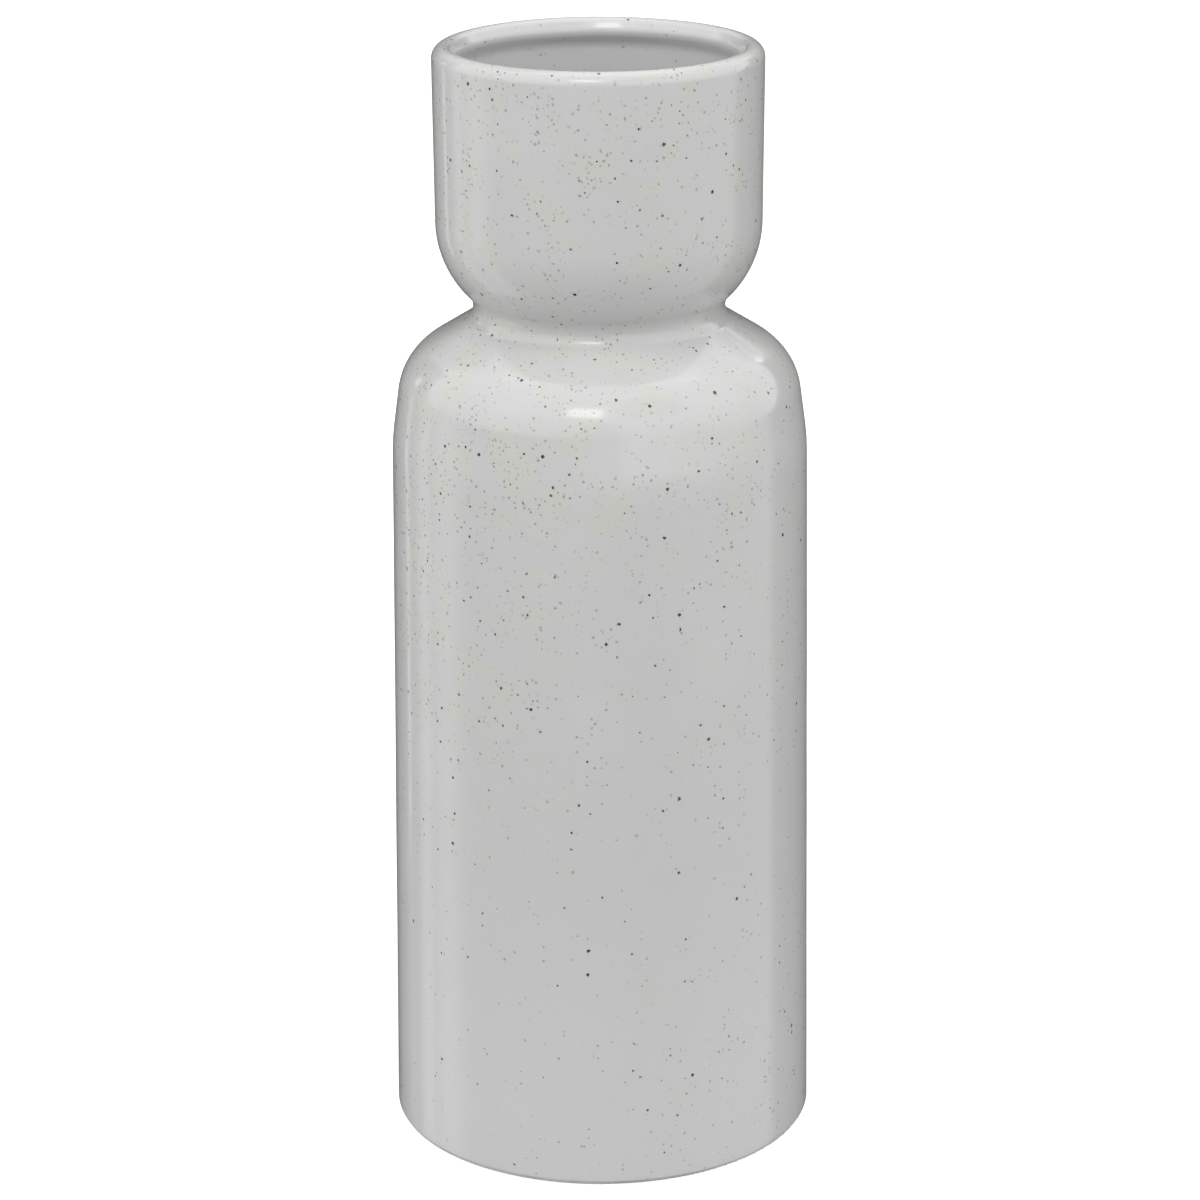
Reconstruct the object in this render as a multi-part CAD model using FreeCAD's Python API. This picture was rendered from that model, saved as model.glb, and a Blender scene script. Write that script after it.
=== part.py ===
import FreeCAD, Part
import math
import os
from collections import namedtuple

# Bottle vase of speckled stoneware: a tall bottle, a pinched waist and a cup-shaped mouth.
# Lengths are millimetres, +Z is up, and the origin is the centre of the foot on the surface
# that the vase stands on. Every piece is a turned form about the Z axis.
# The outline is the glazed vase's own, and the clay lies one coat of glaze inside it.

# Bottle, from the foot up: where its straight runs would meet, and the bends between them
foot_radius = 57.9
wall_height = 194.4
shoulder_radius = 55.6
shoulder_bend = 56.7
brow_rise = 21.9
brow_radius = 52.6
brow_bend = 18.2

# Waist and cup
waist_rise = 13.6
crease_radius = 30.9
crease_bend = 4.4
flare_rise = 12.3
flare_radius = 43.1
flare_bend = 27.6
cup_wall_height = 57.8
mouth_radius = 43.5

# Lip: round outside, rolled over to its narrowest place inside, and undercut below that
lip_outer_bend = 3.4
lip_roll_width = 2.0
lip_roll_depth = 3.5
lip_crest_bend = 2.2
lip_throat_bend = 3.0
lip_undercut = 1.8
lip_undercut_drop = 3.6
lip_undercut_bend = 4.5

# Walls and floor
clay_wall = 6.1
glaze_coat = 0.4
floor_height = 12.0
floor_cove_bend = 9.0

# Foot: a bare clay ring round a shallow glazed recess
foot_ring_width = 9.0
foot_edge_bend = 0.8
recess_depth = 3.0
recess_bend = 1.4
foot_wipe_height = 1.0
ring_wipe_height = 1.4

# Joint at the waist: the bottle's neck edge falls towards the bore, so that the cup centres itself
slip_thickness = 0.8
seat_fall_share = 0.5

# How far down inside the mouth the outer glaze runs before the liner glaze begins
lip_glaze_return = 14.0

# How far a cutting outline runs past the clay
overrun = 5.0

# The most of a straight run that the bends at its two ends may use up
bent_share = 0.98

# One corner of an outline: its radius, its height and the radius that rounds it
Corner = namedtuple("Corner", "name r z bend")

# The corners that only mark where a coat of glaze ends
glaze_edges = ("wiped", "glaze_return", "ring_wiped")

axis_start = FreeCAD.Vector(0, 0, 0)
axis_direction = FreeCAD.Vector(0, 0, 1)


def direction(start, end):
    length = math.hypot(end.r - start.r, end.z - start.z)
    return (end.r - start.r) / length, (end.z - start.z) / length


def turn_angle(before, corner, after):
    # Positive where the outline turns to its left
    arrive = direction(before, corner)
    leave = direction(corner, after)
    cross = arrive[0] * leave[1] - arrive[1] * leave[0]
    along = arrive[0] * leave[0] + arrive[1] * leave[1]
    return math.atan2(cross, along)


def tangent_length(chain, i):
    # How much of the runs beside a corner its bend takes up
    if i == 0 or i == len(chain) - 1:
        return 0
    half_turn = abs(turn_angle(chain[i - 1], chain[i], chain[i + 1])) / 2
    return chain[i].bend * math.tan(half_turn)


def fitted(chain):
    # The same outline with each bend limited to the runs that carry it
    used = [tangent_length(chain, i) for i in range(len(chain))]
    result = list(chain)
    for i in range(1, len(chain) - 1):
        limit_share = 1
        for a, b in ((i - 1, i), (i, i + 1)):
            room = bent_share * math.hypot(chain[b].r - chain[a].r, chain[b].z - chain[a].z)
            if used[a] + used[b] > room:
                limit_share = min(limit_share, room / (used[a] + used[b]))
        result[i] = chain[i]._replace(bend=chain[i].bend * limit_share)
    return result


def parallel(chain, distance):
    # The outline moved to its left: bends to the left get tighter, bends to the right get wider
    last = len(chain) - 1
    moved = []
    for i, corner in enumerate(chain):
        first_run = max(i - 1, 0)
        next_run = min(i, last - 1)
        arrive = direction(chain[first_run], chain[first_run + 1])
        leave = direction(chain[next_run], chain[next_run + 1])
        spread = 1 + arrive[0] * leave[0] + arrive[1] * leave[1]
        r = corner.r - distance * (arrive[1] + leave[1]) / spread
        z = corner.z + distance * (arrive[0] + leave[0]) / spread
        bend = 0
        if corner.bend:
            turn = arrive[0] * leave[1] - arrive[1] * leave[0]
            bend = max(corner.bend - math.copysign(distance, turn), 0)
        moved.append(Corner(corner.name, r, z, bend))
    return moved


def at_height(start, end, z, name):
    # The point of a straight run at a height
    share = (z - start.z) / (end.z - start.z)
    return Corner(name, start.r + share * (end.r - start.r), z, 0)


def point(r, z):
    return FreeCAD.Vector(r, 0, z)


def bend_points(before, corner, after):
    # Start, middle and end of the arc that rounds a corner
    arrive = direction(before, corner)
    leave = direction(corner, after)
    half_turn = abs(turn_angle(before, corner, after)) / 2
    reach = corner.bend * math.tan(half_turn)
    start = point(corner.r - reach * arrive[0], corner.z - reach * arrive[1])
    end = point(corner.r + reach * leave[0], corner.z + reach * leave[1])
    inward = (leave[0] - arrive[0], leave[1] - arrive[1])
    depth = corner.bend * (1 / math.cos(half_turn) - 1) / math.hypot(inward[0], inward[1])
    middle = point(corner.r + depth * inward[0], corner.z + depth * inward[1])
    return start, middle, end


def rounded_edges(chain):
    # Straight runs and tangent arcs along an open outline
    edges = []
    here = point(chain[0].r, chain[0].z)
    for before, corner, after in zip(chain, chain[1:], chain[2:]):
        if corner.bend:
            start, middle, end = bend_points(before, corner, after)
            edges.append(Part.LineSegment(here, start).toShape())
            edges.append(Part.Arc(start, middle, end).toShape())
            here = end
        else:
            start = point(corner.r, corner.z)
            edges.append(Part.LineSegment(here, start).toShape())
            here = start
    edges.append(Part.LineSegment(here, point(chain[-1].r, chain[-1].z)).toShape())
    return edges


def line(start, end):
    return Part.LineSegment(point(start.r, start.z), point(end.r, end.z)).toShape()


def face_of(edges):
    return Part.Face(Part.Wire(Part.__sortEdges__(edges)))


def coat_section(surface, thickness):
    # A coat of even thickness on the left of an outline, squared off at both ends
    back = parallel(surface, thickness)
    caps = [line(surface[0], back[0]), line(surface[-1], back[-1])]
    return face_of(rounded_edges(surface) + rounded_edges(back) + caps)


def turned(face):
    return face.revolve(axis_start, axis_direction, 360)


def outside_outline():
    # Glazed outside, from the foot to the corner of the rim
    shoulder_height = wall_height
    brow_height = shoulder_height + brow_rise
    crease_height = brow_height + waist_rise
    flare_height = crease_height + flare_rise
    rim_height = flare_height + cup_wall_height
    foot = Corner("foot", foot_radius, 0, 0)
    shoulder = Corner("shoulder", shoulder_radius, shoulder_height, shoulder_bend)
    return [
        foot,
        at_height(foot, shoulder, foot_wipe_height, "wiped"),
        shoulder,
        Corner("brow", brow_radius, brow_height, brow_bend),
        Corner("crease", crease_radius, crease_height, crease_bend),
        Corner("flare", flare_radius, flare_height, flare_bend),
        Corner("rim", mouth_radius, rim_height, lip_outer_bend),
    ]


def glazed_outline():
    # The whole glazed surface: up the outside, over the lip and down the inside to the floor
    outside = fitted(outside_outline())
    inside = parallel(outside, clay_wall + 2 * glaze_coat)
    rim = outside[-1]
    throat = at_height(inside[-2], inside[-1], rim.z - lip_roll_depth, "throat")
    throat = throat._replace(bend=lip_throat_bend)
    crest = Corner("crest", throat.r + lip_roll_width, rim.z, lip_crest_bend)
    under_lip = at_height(inside[-2], inside[-1], throat.z - lip_undercut_drop, "under_lip")
    under_lip = under_lip._replace(r=under_lip.r + lip_undercut, bend=lip_undercut_bend)
    turned_in = at_height(inside[-2], under_lip, rim.z - lip_glaze_return, "glaze_return")
    cove = at_height(inside[2], inside[0], floor_height, "cove")
    cove = cove._replace(bend=floor_cove_bend)
    down = [corner._replace(name="inner_" + corner.name) for corner in inside[-2:1:-1]]
    middle = Corner("floor", 0, floor_height, 0)
    return fitted(outside + [crest, throat, under_lip, turned_in] + down + [cove, middle])


def named(chain, name):
    return next(i for i, corner in enumerate(chain) if corner.name == name)


def foot_outline(clay):
    # The clay under the vase, from the centre of the recess out to the ring's outer edge
    recess_radius = foot_radius - foot_ring_width
    return fitted([
        Corner("recess", 0, recess_depth, 0),
        Corner("recess_cove", recess_radius, recess_depth, recess_bend),
        Corner("ring_wiped", recess_radius, ring_wipe_height, 0),
        Corner("ring_edge", recess_radius, 0, foot_edge_bend),
        at_height(clay[0], clay[1], 0, "foot")._replace(bend=foot_edge_bend),
        clay[1],
    ])


def clay_section(glazed):
    # The fired clay in one outline, with the crease left sharp for the coil that fills it
    clay = parallel(glazed, glaze_coat)
    crease = named(clay, "crease")
    clay[crease] = clay[crease]._replace(bend=0)
    closed = foot_outline(clay)[:-1] + clay[1:]
    closed = [corner for corner in closed if corner.name not in glaze_edges]
    return face_of(rounded_edges(closed) + [line(closed[-1], closed[0])])


def seat_band(crease, reach, low, high):
    # The space between two seat lines, which fall from the crease towards the bore
    fall = seat_fall_share * crease.r
    corners = [
        point(0, crease.z - fall + low),
        point(crease.r, crease.z + low),
        point(reach, crease.z + low),
        point(reach, crease.z + high),
        point(crease.r, crease.z + high),
        point(0, crease.z - fall + high),
    ]
    return Part.Face(Part.makePolygon(corners + corners[:1]))


def clay_parts(glazed):
    # The bottle, the slip in the joint and the cup, parted along the seat
    clay = clay_section(glazed)
    corners = parallel(glazed, glaze_coat)
    crease = corners[named(corners, "crease")]
    half_slip = slip_thickness / 2
    reach = max(corner.r for corner in corners) + overrun
    far = max(corner.z for corner in corners) + overrun
    return {
        "bottle_body": clay.common(seat_band(crease, reach, -far, -half_slip)),
        "luting_slip": clay.common(seat_band(crease, reach, -half_slip, half_slip)),
        "mouth_cup": clay.common(seat_band(crease, reach, half_slip, far)),
    }


def crease_coil(glazed):
    # The thin roll of clay worked into the crease, with a hollow face
    clay = parallel(glazed, glaze_coat)
    i = named(clay, "crease")
    start, middle, end = bend_points(clay[i - 1], clay[i], clay[i + 1])
    corner = point(clay[i].r, clay[i].z)
    hollow = Part.Arc(start, middle, end).toShape()
    lower = Part.LineSegment(start, corner).toShape()
    upper = Part.LineSegment(corner, end).toShape()
    return face_of([hollow, lower, upper])


def outer_glaze(glazed):
    # From just above the foot ring, over the lip and into the mouth
    first = named(glazed, "wiped")
    last = named(glazed, "glaze_return")
    return coat_section(glazed[first:last + 1], glaze_coat)


def liner_glaze(glazed):
    # From the outer glaze in the mouth down to the middle of the floor
    return coat_section(glazed[named(glazed, "glaze_return"):], glaze_coat)


def underside_glaze(glazed):
    # Inside the recess, stopping short of the edge of the bare ring
    recess = foot_outline(parallel(glazed, glaze_coat))
    wiped = named(recess, "ring_wiped")
    return coat_section(recess[wiped::-1], glaze_coat)


def all_sections():
    glazed = glazed_outline()
    sections = clay_parts(glazed)
    sections["crease_coil"] = crease_coil(glazed)
    sections["outer_glaze"] = outer_glaze(glazed)
    sections["liner_glaze"] = liner_glaze(glazed)
    sections["underside_glaze"] = underside_glaze(glazed)
    return sections


os.makedirs("parts", exist_ok=True)
for name, section in all_sections().items():
    solid = turned(section.Faces[0])
    solid.exportStep("parts/" + name + ".step")
    box = solid.BoundBox
    print(name, solid.ShapeType, "valid", solid.isValid(), "volume cm3", round(solid.Volume / 1000, 2),
          "z", round(box.ZMin, 3), round(box.ZMax, 3), "width", round(box.XLength, 3))
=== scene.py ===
import math

import bmesh
import bpy
from mathutils import Matrix, Vector, noise


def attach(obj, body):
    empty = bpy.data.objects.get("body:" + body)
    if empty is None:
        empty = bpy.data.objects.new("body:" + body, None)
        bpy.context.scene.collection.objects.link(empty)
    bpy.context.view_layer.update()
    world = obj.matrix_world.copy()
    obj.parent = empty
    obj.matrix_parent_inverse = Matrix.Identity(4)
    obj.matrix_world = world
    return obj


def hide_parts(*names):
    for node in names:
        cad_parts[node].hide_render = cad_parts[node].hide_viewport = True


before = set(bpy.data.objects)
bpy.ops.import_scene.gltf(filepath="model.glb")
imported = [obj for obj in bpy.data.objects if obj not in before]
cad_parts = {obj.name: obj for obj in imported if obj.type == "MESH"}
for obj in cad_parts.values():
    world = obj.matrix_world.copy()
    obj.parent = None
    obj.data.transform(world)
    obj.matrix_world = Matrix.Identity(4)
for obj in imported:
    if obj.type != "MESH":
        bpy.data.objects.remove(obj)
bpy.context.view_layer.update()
mm = 0.001
print("frame loaded:", ", ".join(sorted(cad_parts)))


# Outlines

# The glazed vase, in millimetres: where its straight runs would meet, and the bends between them
vase = {
    "footRadius": 57.9,
    "wallHeight": 194.4,
    "shoulderRadius": 55.6,
    "shoulderBend": 56.7,
    "browRise": 21.9,
    "browRadius": 52.6,
    "browBend": 18.2,
    "waistRise": 13.6,
    "creaseRadius": 30.9,
    "creaseBend": 4.4,
    "flareRise": 12.3,
    "flareRadius": 43.1,
    "flareBend": 27.6,
    "cupWallHeight": 57.8,
    "mouthRadius": 43.5,
    "lipOuterBend": 3.4,
    "lipRollWidth": 2.0,
    "lipRollDepth": 3.5,
    "lipCrestBend": 2.2,
    "lipThroatBend": 3.0,
    "lipUndercut": 1.8,     # how far the wall below the lip stands back from it
    "lipUndercutDrop": 3.6,
    "lipUndercutBend": 4.5,
    "wall": 6.9,            # clay and both coats together
    "coat": 0.4,
    "floorHeight": 12.0,
    "coveBend": 9.0,
    "footRingWidth": 9.0,
    "recessDepth": 3.0,
    "recessBend": 1.4,
    "footWipe": 1.0,        # bare clay above the table
    "ringWipe": 1.4,        # bare clay on the inner side of the foot ring
    "lipReturn": 14.0,      # how far the outer glaze runs into the mouth
}
turning = {
    "segments": 288,        # round the axis
    "straightStep": 1.5,    # millimetres between rings on a straight run
    "bendStep": 3.0,        # degrees between rings on a bend
    "leastRun": 1e-6,       # millimetres; a shorter straight run is left out
    "leastGap": 1e-3,       # and so is a point closer than this to the last one
    "onAxis": 1e-4,         # a ring smaller than this is one point
    "uneven": 0.05,         # millimetres that the glaze wanders in and out
    "unevenSpan": 34.0,     # millimetres from one swell to the next
    "edgeAngles": (0, 25, 50, 70, 90),   # degrees round the end of a coat
    "edgeRoom": 1.1,        # coat thicknesses from that end to the next ring
    "sharpAngle": 50,       # degrees at an edge that shades as a corner
}


def towards(start, end):
    return (end - start).normalized()


def rightOf(run):
    return Vector((run.y, -run.x))


def inset(before, corner, after, depth):
    # The corner of a line that runs alongside, on the left
    a = rightOf(towards(before, corner))
    b = rightOf(towards(corner, after))
    return corner - (a + b) * depth / (1 + a.dot(b))


def onRun(start, end, height):
    share = (height - start.y) / (end.y - start.y)
    return start + (end - start) * share


def around(radius, angle, height):
    return radius * math.cos(angle), radius * math.sin(angle), height


def glazedCorners():
    # Name, place and bend of each corner: up the outside, over the lip, down to the inner floor
    v = vase
    wall = v["wall"]
    browHeight = v["wallHeight"] + v["browRise"]
    creaseHeight = browHeight + v["waistRise"]
    flareHeight = creaseHeight + v["flareRise"]
    rimHeight = flareHeight + v["cupWallHeight"]
    foot = Vector((v["footRadius"], 0))
    shoulder = Vector((v["shoulderRadius"], v["wallHeight"]))
    brow = Vector((v["browRadius"], browHeight))
    crease = Vector((v["creaseRadius"], creaseHeight))
    flare = Vector((v["flareRadius"], flareHeight))
    rim = Vector((v["mouthRadius"], rimHeight))
    innerFlare = inset(crease, flare, rim, wall)
    innerRim = rim - rightOf(towards(flare, rim)) * wall
    innerShoulder = inset(foot, shoulder, brow, wall)
    innerFoot = foot - rightOf(towards(foot, shoulder)) * wall
    throat = onRun(innerFlare, innerRim, rimHeight - v["lipRollDepth"])
    underLip = onRun(innerFlare, innerRim, throat.y - v["lipUndercutDrop"])
    underLip = underLip + Vector((v["lipUndercut"], 0))
    return [
        ("foot", foot, 0),
        ("wiped", onRun(foot, shoulder, v["footWipe"]), 0),
        ("shoulder", shoulder, v["shoulderBend"]),
        ("brow", brow, v["browBend"]),
        ("crease", crease, v["creaseBend"]),
        ("flare", flare, v["flareBend"]),
        ("rim", rim, v["lipOuterBend"]),
        ("crest", Vector((throat.x + v["lipRollWidth"], rimHeight)), v["lipCrestBend"]),
        ("throat", throat, v["lipThroatBend"]),
        ("underLip", underLip, v["lipUndercutBend"]),
        ("lipReturn", onRun(innerFlare, underLip, rimHeight - v["lipReturn"]), 0),
        ("innerFlare", innerFlare, v["flareBend"] - wall),
        ("innerCrease", inset(brow, crease, flare, wall), v["creaseBend"] + wall),
        ("innerBrow", inset(shoulder, brow, crease, wall), v["browBend"] - wall),
        ("innerShoulder", innerShoulder, v["shoulderBend"] - wall),
        ("cove", onRun(innerShoulder, innerFoot, v["floorHeight"]), v["coveBend"]),
        ("floor", Vector((0, v["floorHeight"])), 0),
    ]


def recessCorners():
    # The glazed underside, from the middle out to the bare ring
    v = vase
    radius = v["footRadius"] - v["footRingWidth"] - v["coat"]
    height = v["recessDepth"] - v["coat"]
    return [
        ("middle", Vector((0, height)), 0),
        ("recessCove", Vector((radius, height)), v["recessBend"] - v["coat"]),
        ("ringWiped", Vector((radius, v["ringWipe"])), 0),
    ]


def roundedLine(corners):
    # Points along the corners, with the bends as arcs, each with the way that the surface faces
    points = []

    def straight(start, end):
        run = end - start
        if run.length > turning["leastRun"]:
            count = max(1, round(run.length / turning["straightStep"]))
            facing = rightOf(run.normalized())
            points.extend((start + run * i / count, facing) for i in range(count + 1))

    here = corners[0][1]
    for (_, before, _), (_, corner, bend), (_, after, _) in zip(corners, corners[1:], corners[2:]):
        if not bend:
            straight(here, corner)
            here = corner
            continue
        arrive = towards(before, corner)
        leave = towards(corner, after)
        turn = math.atan2(arrive.x * leave.y - arrive.y * leave.x, arrive.dot(leave))
        reach = bend * math.tan(abs(turn) / 2)
        start = corner - arrive * reach
        straight(here, start)
        centre = start - rightOf(arrive) * math.copysign(bend, turn)
        count = max(2, round(abs(math.degrees(turn)) / turning["bendStep"]))
        for i in range(1, count):
            swing = Matrix.Rotation(turn * i / count, 2)
            points.append((centre + swing @ (start - centre), swing @ rightOf(arrive)))
        here = corner + leave * reach
    straight(here, corners[-1][1])
    spaced = points[:1]
    for place, facing in points[1:]:
        if (place - spaced[-1][0]).length > turning["leastGap"]:
            spaced.append((place, facing))
    return spaced


def stretch(corners, first, last):
    # The corners from one named corner to another
    names = [corner[0] for corner in corners]
    return corners[names.index(first):names.index(last) + 1]


# Turned meshes

def swell(place, angle):
    # The small wandering of a glazed surface, the same on every run
    spot = Vector(around(place.x, angle, place.y))
    return turning["uneven"] * noise.noise(spot / turning["unevenSpan"])


def turned(name, outline, wandering):
    # Spins a closed outline about the axis; its first points, as many as wandering, are the
    # open surface
    bm = bmesh.new()
    count = turning["segments"]
    rings = []
    for index, (place, facing) in enumerate(outline):
        if place.x < turning["onAxis"]:
            rings.append([bm.verts.new((0, 0, place.y * mm))])
            continue
        ring = []
        for k in range(count):
            angle = 2 * math.pi * k / count
            spot = place + facing * swell(place, angle) if index < wandering else place
            ring.append(bm.verts.new([value * mm for value in around(spot.x, angle, spot.y)]))
        rings.append(ring)
    for low, high in zip(rings, rings[1:] + rings[:1]):
        for k in range(count):
            n = (k + 1) % count
            if len(low) > 1 and len(high) > 1:
                bm.faces.new((low[k], low[n], high[n], high[k]))
            elif len(high) > 1:
                bm.faces.new((low[0], high[n], high[k]))
            elif len(low) > 1:
                bm.faces.new((low[k], low[n], high[0]))
    bmesh.ops.recalc_face_normals(bm, faces=bm.faces[:])
    mesh = bpy.data.meshes.new(name)
    bm.to_mesh(mesh)
    bm.free()
    mesh.shade_smooth()
    mesh.set_sharp_from_angle(angle=math.radians(turning["sharpAngle"]))
    piece = bpy.data.objects.new(name, mesh)
    bpy.context.scene.collection.objects.link(piece)
    return piece


def roundedEnd(front):
    # Swaps the square start of a coat for a quarter round, as where a run of glaze stops
    coat = vase["coat"]
    place, facing = front[0]
    along = towards(place, front[1][0])
    edge = []
    for degrees in turning["edgeAngles"]:
        a = math.radians(degrees)
        down = facing * coat * (1 - math.sin(a))
        edge.append((place - down + along * coat * (1 - math.cos(a)), facing))
    room = coat * turning["edgeRoom"]
    return edge + [item for item in front if (item[0] - place).dot(along) > room]


def coatOf(name, corners, openEnd=None):
    # A coat of glaze on the left of its open surface; openEnd says which end stops on bare clay
    coat = vase["coat"]
    front = roundedLine(corners)
    back = [(place - facing * coat, facing) for place, facing in front][::-1]
    if openEnd == "first":
        front = roundedEnd(front)
        back = back[:-1]
    if openEnd == "last":
        front = roundedEnd(front[::-1])[::-1]
        back = back[1:]
    return turned(name, front + back, len(front))


vaseCorners = glazedCorners()
outerGlaze = coatOf("outerGlaze", stretch(vaseCorners, "wiped", "lipReturn"), "first")
linerGlaze = coatOf("linerGlaze", stretch(vaseCorners, "lipReturn", "floor"))
recessGlaze = coatOf("recessGlaze", recessCorners(), "last")
coats = (outerGlaze, linerGlaze, recessGlaze)
print("glaze coats turned:", [len(piece.data.polygons) for piece in coats])


# Materials

def newMaterial(name):
    material = bpy.data.materials.new(name)
    material.use_nodes = True
    material.node_tree.nodes.clear()
    return material, material.node_tree


def connect(tree, socket, value):
    # An input is linked to another node or set to a value
    if isinstance(value, bpy.types.NodeSocket):
        tree.links.new(value, socket)
    else:
        socket.default_value = value


def add(tree, kind, inputs=(), **settings):
    made = tree.nodes.new(kind)
    for key, value in settings.items():
        setattr(made, key, value)
    for key, value in dict(inputs).items():
        connect(tree, made.inputs[key], value)
    return made


def calc(tree, operation, a, b=0.0):
    return add(tree, "ShaderNodeMath", {0: a, 1: b}, operation=operation).outputs[0]


def times(tree, a, b):
    return calc(tree, "MULTIPLY", a, b)


def plus(tree, a, b):
    return calc(tree, "ADD", a, b)


def larger(tree, a, b):
    return calc(tree, "MAXIMUM", a, b)


def vectorCalc(tree, operation, inputs):
    return add(tree, "ShaderNodeVectorMath", inputs, operation=operation).outputs


def ramp(tree, value, low, high, start=0.0, end=1.0):
    inputs = {"Value": value, "From Min": low, "From Max": high, "To Min": start, "To Max": end}
    made = add(tree, "ShaderNodeMapRange", inputs, interpolation_type="SMOOTHSTEP")
    return made.outputs["Result"]


def cloud(tree, place, span, detail=2.0):
    # Soft noise from 0 to 1, with swells about span millimetres apart
    inputs = {"Vector": place, "Scale": 1 / span, "Detail": detail}
    return add(tree, "ShaderNodeTexNoise", inputs).outputs["Fac"]


def between(tree, factor, a, b, **settings):
    # A number that is part of the way from a to b
    inputs = {"Factor": factor, "A": a, "B": b}
    return add(tree, "ShaderNodeMix", inputs, **settings).outputs["Result"]


def blend(tree, factor, a, b):
    # A colour that is part of the way from a to b
    made = add(tree, "ShaderNodeMix", data_type="RGBA")
    for name, kind, value in (("Factor", "VALUE", factor), ("A", "RGBA", a), ("B", "RGBA", b)):
        socket = next(s for s in made.inputs if s.name == name and s.type == kind)
        connect(tree, socket, value)
    return next(s for s in made.outputs if s.type == "RGBA")


def millimetres(tree, shift=(0, 0, 0)):
    # The place on the piece itself, in millimetres
    place = add(tree, "ShaderNodeTexCoord").outputs["Object"]
    inputs = {"Vector": place, "Location": shift, "Scale": (1 / mm,) * 3}
    return add(tree, "ShaderNodeMapping", inputs).outputs["Vector"]


def sides(tree, place):
    return add(tree, "ShaderNodeSeparateXYZ", {0: place}).outputs


def lengthOf(tree, place):
    return vectorCalc(tree, "LENGTH", {0: place})["Value"]


def fromAxis(tree, place):
    return lengthOf(tree, vectorCalc(tree, "MULTIPLY", {0: place, 1: (1, 1, 0)})[0])


def bumped(tree, height):
    # Height in metres
    return add(tree, "ShaderNodeBump", {"Height": height, "Strength": 1.0, "Distance": 1.0}).outputs[0]


def finishMaterial(tree, shader):
    add(tree, "ShaderNodeOutputMaterial", {"Surface": shader.outputs[0]})


# The speckled glaze. Spans, depths and heights are in millimetres, and edges say between which
# values of the soft noise an effect grows
glaze = {
    "cool": (0.500, 0.506, 0.503, 1),
    "warm": (0.513, 0.512, 0.482, 1),
    # a paler glaze colour, for milky patches, the paler foot and the painted light inside the mouth
    "milkyAndPaintedLight": (0.560, 0.565, 0.560, 1),
    "mottleSpan": 13.0,
    "mottleEdges": (0.35, 0.65),
    "warmFull": 1.2,
    "cloudSpan": 60.0,
    "milkSpan": 30.0,
    "milkEdges": (0.45, 0.80),
    "milkShare": 0.25,
    "roughness": 0.10,
    "roughnessSpread": 0.05,
    "roughnessEdges": (0.3, 0.7),
    "speckRoughness": 0.15,
    "peelSpan": 3.2,
    "peelDepth": 0.0035,
    "pitDepth": 0.02,
    "ior": 1.50,
    # Iron specks: spacing and least and most radius in millimetres, share of places that hold
    # one, how dark they get, and how ragged
    "specks": [
        {"spacing": 1.3, "radius": (0.22, 0.50), "share": 0.48, "depth": (0.12, 0.42), "ragged": 0.14},
        {"spacing": 2.0, "radius": (0.24, 0.46), "share": 0.38, "depth": (0.45, 0.95), "ragged": 0.12},
        {"spacing": 4.0, "radius": (0.34, 0.62), "share": 0.48, "depth": (0.95, 1.00), "ragged": 0.12},
    ],
    "speckColour": (0.022, 0.019, 0.015, 1),
    "clusterSpan": 8.0,
    "clusterEdges": (0.38, 0.64),
    "clusterShares": (0.25, 1.75),  # of specks, outside and inside the clusters
    "driftEdges": (0.3, 0.7),
    "driftShares": (0.75, 1.25),
    "sparseBelow": 85.0,            # heights between which the specks get denser
    "denseAbove": 210.0,
    "sparseShare": 0.27,
    "fuller": 0.36,                 # how much fuller the bottle's left side is than its middle
    "fullerSpan": 45.0,
    "fullerHeights": (30.0, 110.0, 222.0, 240.0),
    "fullerAtFoot": -0.6,           # down there it is the right side
    "palerBelowHeight": (105.0, 10.0),   # heights between which the glaze turns paler towards the foot
    "palerBelowShare": 0.62,
    "paintedLightWithin": (39.2, 38.2),   # radii and heights between which the inside of the mouth is painted paler: painted light
    "paintedLightAbove": (262.0, 270.0),
    "paintedLightShare": 0.75,
    "paintedLightSpecks": 0.35,           # and how many of the specks show there
    "linerShift": (31.0, 17.0, 5.0),
}
speckShape = {
    "swellsToRadius": 1.2,          # of the ragged outline
    "reachIfRagged": 4,             # millimetres that it moves where ragged is 1
    "core": 0.6,                    # share of the radius that is fully dark
}


# Painted light: marks the top of the mouth's inside, which is painted paler and less speckled
def paintedLightInMouth(tree, place, settings):
    within = ramp(tree, fromAxis(tree, place), *settings["paintedLightWithin"])
    return times(tree, within, ramp(tree, sides(tree, place)["Z"], *settings["paintedLightAbove"]))


def fullerSide(tree, place, settings):
    # More specks on one side of the bottle, on the other at the foot, and even on the cup
    spot = sides(tree, place)
    span = settings["fullerSpan"]
    foot, belly, waist, cup = settings["fullerHeights"]
    side = ramp(tree, spot["X"], -span, span, settings["fuller"], -settings["fuller"])
    side = times(tree, side, ramp(tree, spot["Z"], foot, belly, settings["fullerAtFoot"], 1.0))
    return plus(tree, times(tree, side, ramp(tree, spot["Z"], cup, waist)), 1.0)


def speckDensity(tree, place, settings):
    # Loose clusters, thinning towards the foot and inside the mouth
    byHeight = ramp(tree, sides(tree, place)["Z"], settings["sparseBelow"], settings["denseAbove"],
                    settings["sparseShare"], 1.0)
    clusters = ramp(tree, cloud(tree, place, settings["clusterSpan"], detail=1.0),
                    *settings["clusterEdges"], *settings["clusterShares"])
    drift = ramp(tree, cloud(tree, place, settings["cloudSpan"], detail=0.0),
                 *settings["driftEdges"], *settings["driftShares"])
    # painted light: fewer specks inside the top of the mouth
    paintedLight = paintedLightInMouth(tree, place, settings)
    mouth = ramp(tree, paintedLight, 0.0, 1.0, 1.0, settings["paintedLightSpecks"])
    side = times(tree, fullerSide(tree, place, settings), mouth)
    return times(tree, times(tree, byHeight, clusters), times(tree, drift, side))


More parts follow.
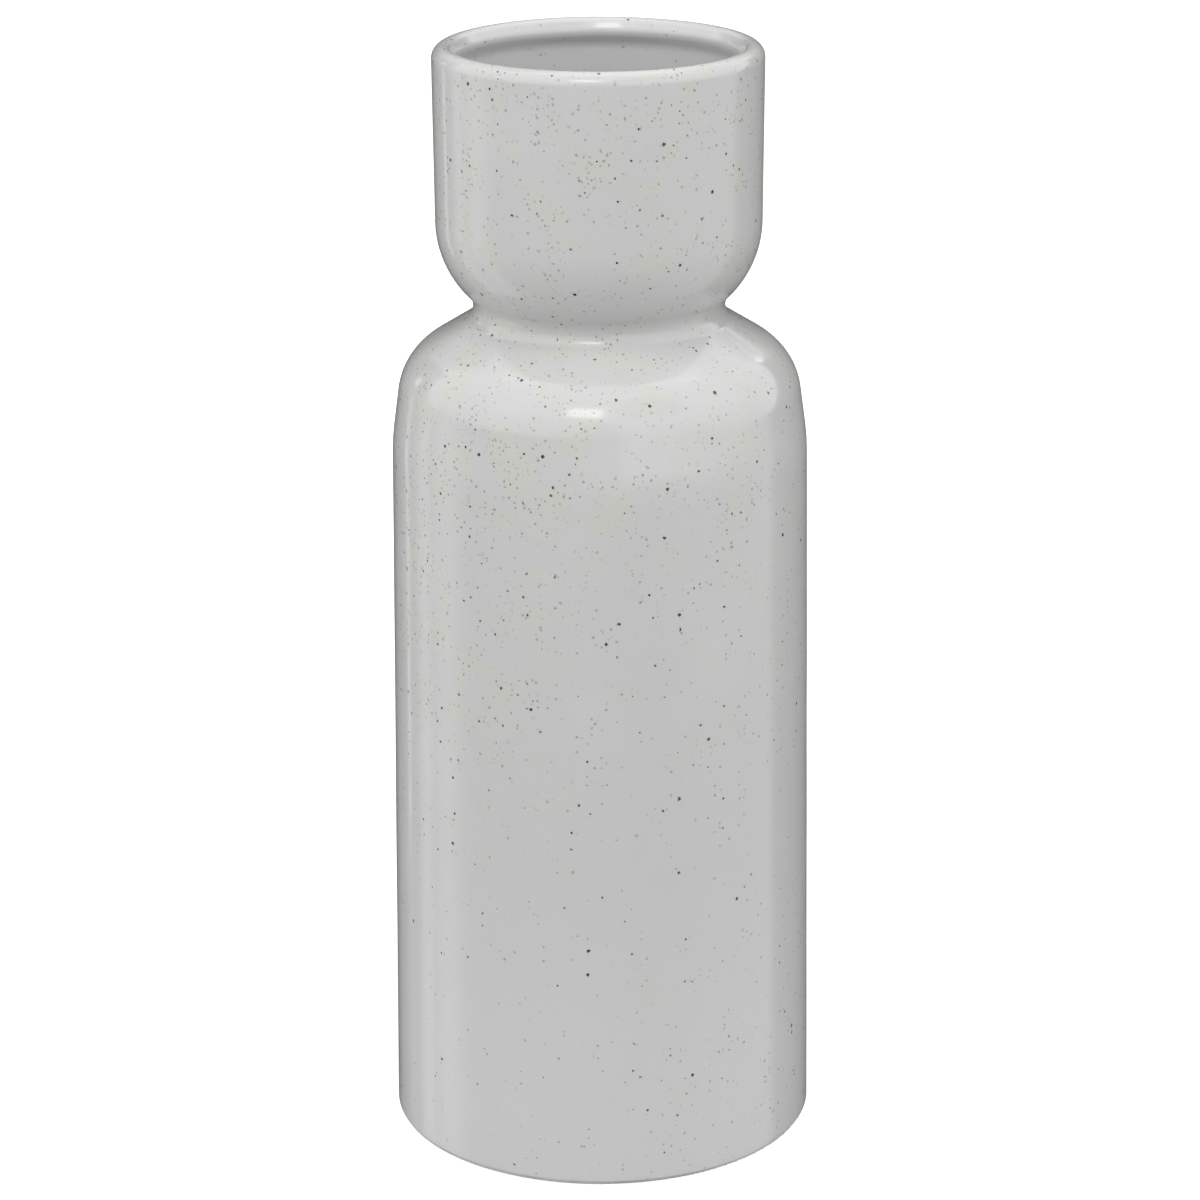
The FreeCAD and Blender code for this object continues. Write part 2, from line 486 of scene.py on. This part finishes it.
def specks(tree, place, density, settings):
    # One size of speck: how much of it covers each point, from 0 to its depth
    small, large = settings["radius"]
    spacing = settings["spacing"]
    inputs = {"Vector": place, "Scale": speckShape["swellsToRadius"] / large, "Detail": 1.0}
    wobble = add(tree, "ShaderNodeTexNoise", inputs).outputs["Color"]
    wobble = vectorCalc(tree, "SUBTRACT", {0: wobble, 1: (0.5, 0.5, 0.5)})[0]
    reach = settings["ragged"] * speckShape["reachIfRagged"]
    pushed = vectorCalc(tree, "SCALE", {0: wobble, "Scale": reach})[0]
    spot = vectorCalc(tree, "ADD", {0: place, 1: pushed})[0]
    cells = add(tree, "ShaderNodeTexVoronoi", {"Vector": spot, "Scale": 1 / spacing})
    chance = add(tree, "ShaderNodeSeparateColor", {0: cells.outputs["Color"]}).outputs
    away = times(tree, cells.outputs["Distance"], spacing)
    radius = ramp(tree, chance["Green"], 0.0, 1.0, small, large)
    blob = ramp(tree, calc(tree, "DIVIDE", away, radius), 1.0, speckShape["core"])
    held = calc(tree, "LESS_THAN", chance["Red"], times(tree, density, settings["share"]))
    dark = ramp(tree, chance["Blue"], 0.0, 1.0, *settings["depth"])
    return times(tree, times(tree, blob, held), dark)


def speckledGlaze(name, settings, shift=(0, 0, 0)):
    material, tree = newMaterial(name)
    here = millimetres(tree)
    place = millimetres(tree, shift)
    density = speckDensity(tree, here, settings)
    mottle = cloud(tree, place, settings["mottleSpan"])
    warmth = times(tree, ramp(tree, mottle, *settings["mottleEdges"]), density)
    warmth = ramp(tree, warmth, 0.0, settings["warmFull"])
    colour = blend(tree, warmth, settings["cool"], settings["warm"])
    milkAndPaintedLight = ramp(tree, cloud(tree, place, settings["milkSpan"], detail=1.0),
                *settings["milkEdges"], 0.0, settings["milkShare"])
    # paler towards the foot
    palerBelow = ramp(tree, sides(tree, here)["Z"], *settings["palerBelowHeight"], 0.0, settings["palerBelowShare"])
    # painted light: the inside of the mouth's top is painted paler
    paintedLight = times(tree, paintedLightInMouth(tree, here, settings), settings["paintedLightShare"])
    milkAndPaintedLight = larger(tree, milkAndPaintedLight, larger(tree, palerBelow, paintedLight))
    colour = blend(tree, milkAndPaintedLight, colour, settings["milkyAndPaintedLight"])
    cover = 0.0
    for size in settings["specks"]:
        cover = larger(tree, specks(tree, place, density, size), cover)
    colour = blend(tree, cover, colour, settings["speckColour"])
    sheen = ramp(tree, mottle, *settings["roughnessEdges"], 0.0, settings["roughnessSpread"])
    rough = plus(tree, plus(tree, sheen, settings["roughness"]),
                 times(tree, cover, settings["speckRoughness"]))
    peel = times(tree, cloud(tree, place, settings["peelSpan"]), settings["peelDepth"] * mm)
    pits = times(tree, cover, -settings["pitDepth"] * mm)
    inputs = {"Base Color": colour, "Roughness": rough, "IOR": settings["ior"],
              "Normal": bumped(tree, plus(tree, peel, pits))}
    finishMaterial(tree, add(tree, "ShaderNodeBsdfPrincipled", inputs))
    return material


# Bare clay and slip, in the same measures
clay = {
    "buff": (0.47, 0.455, 0.43, 1),
    "pale": (0.55, 0.54, 0.515, 1),
    "slip": (0.58, 0.575, 0.55, 1),
    "patchSpan": 11.0,
    "patchEdges": (0.3, 0.7),
    "grainSpan": 0.9,
    "grainEdges": (0.45, 0.75),
    "grainShare": 0.35,
    "grainDepth": 0.05,
    "grogColour": (0.19, 0.17, 0.145, 1),
    "grog": {"spacing": 1.6, "radius": (0.12, 0.30), "depth": (0.4, 0.8), "ragged": 0.15},
    "grogInClay": 0.5,          # share of places that hold a grain of it
    "grogInSlip": 0.1,
    "ringSpacing": 0.8,
    "ringDepth": 0.03,
    "roughness": (0.76, 0.90),
    "roughnessEdges": (0.3, 0.7),
}


def firedClay(name, settings, ground, grogShare):
    # Unglazed stoneware: sandy grain, dark grog and the rings that trimming leaves
    material, tree = newMaterial(name)
    place = millimetres(tree)
    grain = cloud(tree, place, settings["grainSpan"], detail=4.0)
    patch = ramp(tree, cloud(tree, place, settings["patchSpan"]), *settings["patchEdges"])
    colour = blend(tree, patch, settings[ground], settings["pale"])
    sandy = ramp(tree, grain, *settings["grainEdges"], 0.0, settings["grainShare"])
    colour = blend(tree, sandy, colour, settings["buff"])
    cover = specks(tree, place, 1.0, {**settings["grog"], "share": grogShare})
    colour = blend(tree, cover, colour, settings["grogColour"])
    across = times(tree, fromAxis(tree, place), 2 * math.pi / settings["ringSpacing"])
    rings = times(tree, calc(tree, "SINE", across), settings["ringDepth"] / 2 * mm)
    grit = times(tree, grain, settings["grainDepth"] * mm)
    rough = ramp(tree, grain, *settings["roughnessEdges"], *settings["roughness"])
    inputs = {"Base Color": colour, "Roughness": rough,
              "Normal": bumped(tree, plus(tree, rings, grit))}
    finishMaterial(tree, add(tree, "ShaderNodeBsdfPrincipled", inputs))
    return material


outerGlazeMaterial = speckledGlaze("speckledGlaze", glaze)
linerGlazeMaterial = speckledGlaze("linerGlaze", glaze, glaze["linerShift"])
clayMaterial = firedClay("firedClay", clay, "buff", clay["grogInClay"])
slipMaterial = firedClay("firedSlip", clay, "slip", clay["grogInSlip"])


def dress(piece, material):
    piece.data.materials.clear()
    piece.data.materials.append(material)


dress(outerGlaze, outerGlazeMaterial)
dress(recessGlaze, outerGlazeMaterial)
dress(linerGlaze, linerGlazeMaterial)
for piece, node, finish in ((outerGlaze, "outer_glaze", "speckled_glaze"),
                            (linerGlaze, "liner_glaze", "liner_glaze"),
                            (recessGlaze, "underside_glaze", "speckled_glaze")):
    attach(piece, "root")
    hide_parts(node)
for node in ("bottle_body", "mouth_cup"):
    dress(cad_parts[node], clayMaterial)
for node in ("luting_slip", "crease_coil"):
    dress(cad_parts[node], slipMaterial)
print("materials on:", [m.name for m in bpy.data.materials if m.users])


# Studio

studio = {
    "floorRadius": 6.0,
    "floorSegments": 96,
    "floorColour": (0.74, 0.74, 0.74),
    "fibreSpan": 3.0,               # of the floor's paper, in millimetres
    "fibreEdges": (0.3, 0.7),
    "fibreShade": 0.97,
    "floorLift": (0.62, 1.0),       # white added for the camera, under the vase and beyond
    "liftSpan": (0.10, 0.50),       # metres from the axis over which it grows
    "worldLight": 0.27,
    "fullPower": 4.0,               # watts per square metre of a lamp whose brightness is 1
    # Lamps: place, what they face, width, height in metres, and brightness, where 1 is white
    "lamps": [
        {"name": "overhead", "place": (0, -0.35, 1.35), "aim": (0, -0.35, 0),
         "size": (2.4, 2.1), "bright": 0.44},
        {"name": "frontBox", "place": (0, -0.75, 1.28), "aim": (0, 0, 0.20),
         "size": (2.2, 1.1), "bright": 1.25},
        {"name": "leftBox", "place": (-1.15, -0.45, 0.75), "aim": (0, 0, 0.20),
         "size": (1.0, 1.1), "bright": 1.46},
        {"name": "rightBox", "place": (1.15, -0.45, 0.75), "aim": (0, 0, 0.20),
         "size": (1.0, 1.1), "bright": 1.36},
    ],
    # What the gloss sees of the studio. Bearings are degrees from the front, to the right and
    # behind. Low down stand dark flags and pale strips, as bearing and brightness.
    "flags": [
        (0, 0.78), (20, 0.68), (45, 0.75), (60, 0.95), (104, 1.00), (108, 0.85), (111, 0.22),
        (118, 0.10), (160, 0.10), (198, 0.05), (206, 0.20), (216, 0.24), (222, 0.38), (228, 0.62),
        (232, 0.48), (236, 0.52), (240, 0.92), (245, 1.38), (250, 1.40), (254, 0.98), (258, 1.30),
        (265, 1.62), (271, 1.52), (277, 1.02), (285, 0.74), (330, 0.78),
    ],
    "brightest": 2.0,               # the flags are kept as shares of this
    "flagTopRight": (108, 150, -6, 28),     # two bearings, and how high the flags reach at each
    "flagTopLeft": (218, 250, 45, 2),
    "behind": (29, 39),             # degrees off straight behind, where they fade upwards
    "flagEdge": (4, 45),            # degrees over which they end, at the sides and behind
    "tentBright": 1.9,              # the white tent above them
    # Darker and brighter patches: middle bearing and elevation, reach each way, soft edge
    "patches": [
        {"name": "cameraGap", "middle": (1, 11), "reach": (8, 14), "edge": 6, "bright": 1.05},
        {"name": "dimPanel", "middle": (36, 50), "reach": (20, 13), "edge": 8, "bright": 1.0},
        {"name": "skylight", "middle": (180, 78), "reach": (60, 16), "edge": 10, "bright": 2.7},
        {"name": "rearLeft", "middle": (204, 42), "reach": (15, 14), "edge": 4, "bright": 0.95},
        {"name": "window", "middle": (350, 45), "reach": (9, 4), "edge": 6, "bright": 7.6},
        {"name": "rearSlit", "middle": (147, 26), "reach": (1.8, 1.4), "edge": 2.2, "bright": 3.0},
        {"name": "rearHaze", "middle": (153.2, 22.6), "reach": (1, 0.8), "edge": 1.6, "bright": 1.6},
        {"name": "sideSlit", "middle": (225.5, 9), "reach": (1, 3), "edge": 1, "bright": 2.6},
        {"name": "thinStrip", "middle": (225.8, -12.5), "reach": (0.7, 8), "edge": 1.6, "bright": 1.45},
    ],
}


def seenDirectly(tree):
    # 1 for what the camera, gloss and glass see, 0 for the light that falls on things
    path = add(tree, "ShaderNodeLightPath").outputs
    return larger(tree, larger(tree, path["Is Camera Ray"], path["Is Glossy Ray"]),
                  path["Is Transmission Ray"])


def floorMaterial():
    material, tree = newMaterial("floorPaper")
    place = millimetres(tree)
    fibre = ramp(tree, cloud(tree, place, studio["fibreSpan"], detail=4.0),
                 *studio["fibreEdges"], studio["fibreShade"], 1.0)
    shade = vectorCalc(tree, "SCALE", {0: studio["floorColour"], "Scale": fibre})[0]
    paper = add(tree, "ShaderNodeBsdfDiffuse", {"Color": shade})
    near, far = (length / mm for length in studio["liftSpan"])
    white = ramp(tree, lengthOf(tree, place), near, far, *studio["floorLift"])
    lift = add(tree, "ShaderNodeEmission", {"Strength": times(tree, seenDirectly(tree), white)})
    finishMaterial(tree, add(tree, "ShaderNodeAddShader", {0: paper.outputs[0], 1: lift.outputs[0]}))
    material.cycles.emission_sampling = "NONE"
    return material


def makeFloor():
    count = studio["floorSegments"]
    ring = [around(studio["floorRadius"], 2 * math.pi * k / count, 0) for k in range(count)]
    mesh = bpy.data.meshes.new("floorSheet")
    mesh.from_pydata(ring, [], [tuple(range(count))])
    mesh.materials.append(floorMaterial())
    made = bpy.data.objects.new("floorSheet", mesh)
    bpy.context.scene.collection.objects.link(made)
    made.visible_glossy = False     # the gloss sees the studio's flags in its place


def makeLamp(lamp):
    width, height = lamp["size"]
    light = bpy.data.lights.new(lamp["name"], "AREA")
    light.shape = "RECTANGLE"
    light.size = width
    light.size_y = height
    light.energy = studio["fullPower"] * width * height * lamp["bright"]
    made = bpy.data.objects.new(lamp["name"], light)
    made.location = lamp["place"]
    aim = Vector(lamp["aim"]) - Vector(lamp["place"])
    made.rotation_euler = aim.to_track_quat("-Z", "Y").to_euler()
    made.visible_camera = False
    made.visible_glossy = False     # the gloss sees the tent instead
    bpy.context.scene.collection.objects.link(made)


def degreesOf(tree, angle, start=0.0):
    inputs = {0: angle, 1: 180 / math.pi, 2: start}
    return add(tree, "ShaderNodeMath", inputs, operation="MULTIPLY_ADD").outputs[0]


def apart(tree, value, middle):
    return calc(tree, "ABSOLUTE", calc(tree, "SUBTRACT", value, middle))


def withPatch(tree, bright, bearing, elevation, patch):
    aside = calc(tree, "SUBTRACT", bearing, patch["middle"][0])
    wrapped = add(tree, "ShaderNodeMath", {0: aside, 1: 180.0, 2: -180.0}, operation="WRAP")
    across = calc(tree, "ABSOLUTE", wrapped.outputs[0])
    up = apart(tree, elevation, patch["middle"][1])
    width, height = patch["reach"]
    inside = times(tree, ramp(tree, across, width + patch["edge"], width),
                   ramp(tree, up, height + patch["edge"], height))
    return between(tree, inside, bright, patch["bright"], label=patch["name"])


def flagCurve(tree, bearing):
    # Brightness of the flags and strips by bearing
    curve = add(tree, "ShaderNodeValToRGB", {"Fac": calc(tree, "DIVIDE", bearing, 360.0)})
    stops = curve.color_ramp.elements
    for index, (turn, bright) in enumerate(studio["flags"]):
        # A new ramp already has two stops
        stop = stops[index] if index < 2 else stops.new(turn / 360)
        stop.position = turn / 360
        stop.color = (bright / studio["brightest"],) * 3 + (1,)
    return times(tree, curve.outputs["Color"], studio["brightest"])


def aboveFlags(tree, bearing, elevation):
    # From 0 on the flags to 1 in the tent above them
    startRight, endRight, lowRight, highRight = studio["flagTopRight"]
    startLeft, endLeft, highLeft, lowLeft = studio["flagTopLeft"]
    top = calc(tree, "MINIMUM", ramp(tree, bearing, startRight, endRight, lowRight, highRight),
               ramp(tree, bearing, startLeft, endLeft, highLeft, lowLeft))
    fromBehind = apart(tree, bearing, 180.0)
    near, far = studio["behind"]
    sharp, soft = studio["flagEdge"]
    edge = ramp(tree, fromBehind, near, far, soft, sharp)
    lowered = ramp(tree, fromBehind, near, far, soft / 2, 0.0)
    over = calc(tree, "SUBTRACT", elevation, calc(tree, "SUBTRACT", top, lowered))
    return ramp(tree, calc(tree, "DIVIDE", over, edge), 0.0, 1.0)


def glossStudio(tree):
    # How bright the studio is in each direction
    way = sides(tree, add(tree, "ShaderNodeTexCoord").outputs["Generated"])
    heading = calc(tree, "ARCTAN2", times(tree, way["X"], -1.0), way["Y"])
    bearing = degreesOf(tree, heading, 180.0)
    elevation = degreesOf(tree, calc(tree, "ARCSINE", way["Z"]))
    above = aboveFlags(tree, bearing, elevation)
    bright = between(tree, above, flagCurve(tree, bearing), studio["tentBright"])
    for patch in studio["patches"]:
        bright = withPatch(tree, bright, bearing, elevation, patch)
    return bright


def makeWorld():
    world = bpy.data.worlds.new("studioWorld")
    world.use_nodes = True
    tree = world.node_tree
    tree.nodes.clear()
    path = add(tree, "ShaderNodeLightPath").outputs
    seen = larger(tree, path["Is Camera Ray"], path["Is Transmission Ray"])
    plain = between(tree, seen, studio["worldLight"], 1.0)
    bright = between(tree, path["Is Glossy Ray"], plain, glossStudio(tree))
    light = add(tree, "ShaderNodeBackground", {"Color": (1, 1, 1, 1), "Strength": bright})
    add(tree, "ShaderNodeOutputWorld", {"Surface": light.outputs[0]})
    bpy.context.scene.world = world


makeFloor()
for lamp in studio["lamps"]:
    makeLamp(lamp)
makeWorld()
print("studio set up")


# Camera

camera = {
    "distance": 0.9899,     # in front of the axis, in metres
    "height": 0.4766,
    "tilt": 18.387,         # degrees below the horizon
    "roll": -0.256,
    "focalPixels": 3829.9,  # for a frame 1200 pixels wide
    "middlePixel": 600.54,
    "framePixels": 1200,
    "sensor": 36.0,
    "nearest": 0.05,
    "farthest": 50.0,
}


def makeCamera():
    data = bpy.data.cameras.new("studioCamera")
    data.sensor_width = camera["sensor"]
    data.lens = camera["sensor"] * camera["focalPixels"] / camera["framePixels"]
    data.shift_x = 0.5 - camera["middlePixel"] / camera["framePixels"]
    data.clip_start = camera["nearest"]
    data.clip_end = camera["farthest"]
    made = bpy.data.objects.new("studioCamera", data)
    made.location = (0, -camera["distance"], camera["height"])
    look = Matrix.Rotation(math.radians(90 - camera["tilt"]), 3, "X")
    lean = Matrix.Rotation(math.radians(camera["roll"]), 3, "Z")
    made.rotation_euler = (look @ lean).to_euler()
    bpy.context.scene.collection.objects.link(made)
    bpy.context.scene.camera = made


makeCamera()
bpy.context.scene.view_settings.view_transform = "Standard"
